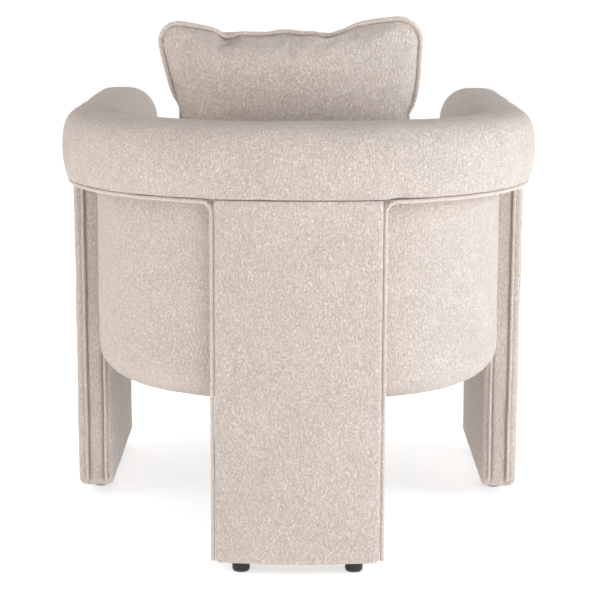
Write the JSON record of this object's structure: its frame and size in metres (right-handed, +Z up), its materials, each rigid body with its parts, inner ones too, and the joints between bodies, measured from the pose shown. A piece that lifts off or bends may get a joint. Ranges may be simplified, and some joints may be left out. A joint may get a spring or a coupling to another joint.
{
  "type": "upholstered armchair",
  "caption": "Three-legged tub armchair with a padded wrap-around roll for back and arms, slab legs, seat cushion and loose back pillow.",
  "frame": {"origin": "on the floor under the middle of the chair's outline", "axes": "+Z up; the chair faces -Y with its back leg at +Y; +X is on the right as seen from the front of the chair"},
  "size_m": [0.76, 0.786, 0.8327],
  "materials": {
    "boucle": "looped cream wool-look boucle, matte",
    "piping": "cream boucle over cord, matte",
    "birch": "bare birch plywood and timber",
    "bent_board": "bare bent hardboard",
    "zinc_steel": "zinc plated",
    "webbing": "woven elastic webbing",
    "platform_cloth": "plain woven platform cloth over felt",
    "dust_cloth": "black non-woven cloth",
    "black_plastic": "moulded black plastic, satin",
    "foam": "open-cell seat foam",
    "filling": "fibre-filled inner bag",
    "zip_tape": "coil zip on cream tape"
  },
  "bodies": {
    "chair": {"roll_pad": "boucle", "top_ring": "birch", "ring_screws": "zinc_steel", "tub_ribs": "birch", "tub_shell_board": "bent_board", "inner_board": "bent_board", "inner_lining": "boucle", "tub_panel_left": "boucle", "tub_panel_right": "boucle", "tub_edge_left": "boucle", "tub_edge_right": "boucle", "base_ring": "birch", "seat_rail": "birch", "front_rail": "birch", "corner_blocks": "birch", "webbing_long": "webbing", "webbing_cross": "webbing", "deck_pad": "platform_cloth", "front_facing": "boucle", "dust_cover": "dust_cloth", "roll_underside_left": "boucle", "roll_underside_right": "boucle", "roll_welt_left": "piping", "roll_welt_right": "piping", "back_leg_frame": "birch", "side_leg_frame_left": "birch", "side_leg_frame_right": "birch", "back_leg_cover": "boucle", "side_leg_cover_left": "boucle", "side_leg_cover_right": "boucle", "leg_packers": "birch", "leg_blocks": "birch", "leg_bolts": "zinc_steel", "leg_washers": "zinc_steel", "leg_tee_nuts": "zinc_steel", "side_leg_welts_left": "piping", "side_leg_welts_right": "piping", "leg_bottom_cloths": "dust_cloth", "glide_pads": "black_plastic", "glide_studs": "zinc_steel"},
    "seat_cushion": {"seat_cushion_cover": "boucle", "seat_cushion_core": "foam", "seat_cushion_welts": "piping", "seat_cushion_zip": "zip_tape"},
    "back_pillow": {"back_pillow_cover": "boucle", "back_pillow_fill": "filling", "back_pillow_welt": "piping"}
  },
  "joints": [
    {"name": "seat_cushion_lift", "type": "slide", "parent": "chair", "child": "seat_cushion", "axis": [0, 0, 1], "range_m": [0, 0.38]},
    {"name": "back_pillow_lift", "type": "slide", "parent": "seat_cushion", "child": "back_pillow", "axis": [0, 0, 1], "range_m": [0, 0.4]}
  ]
}
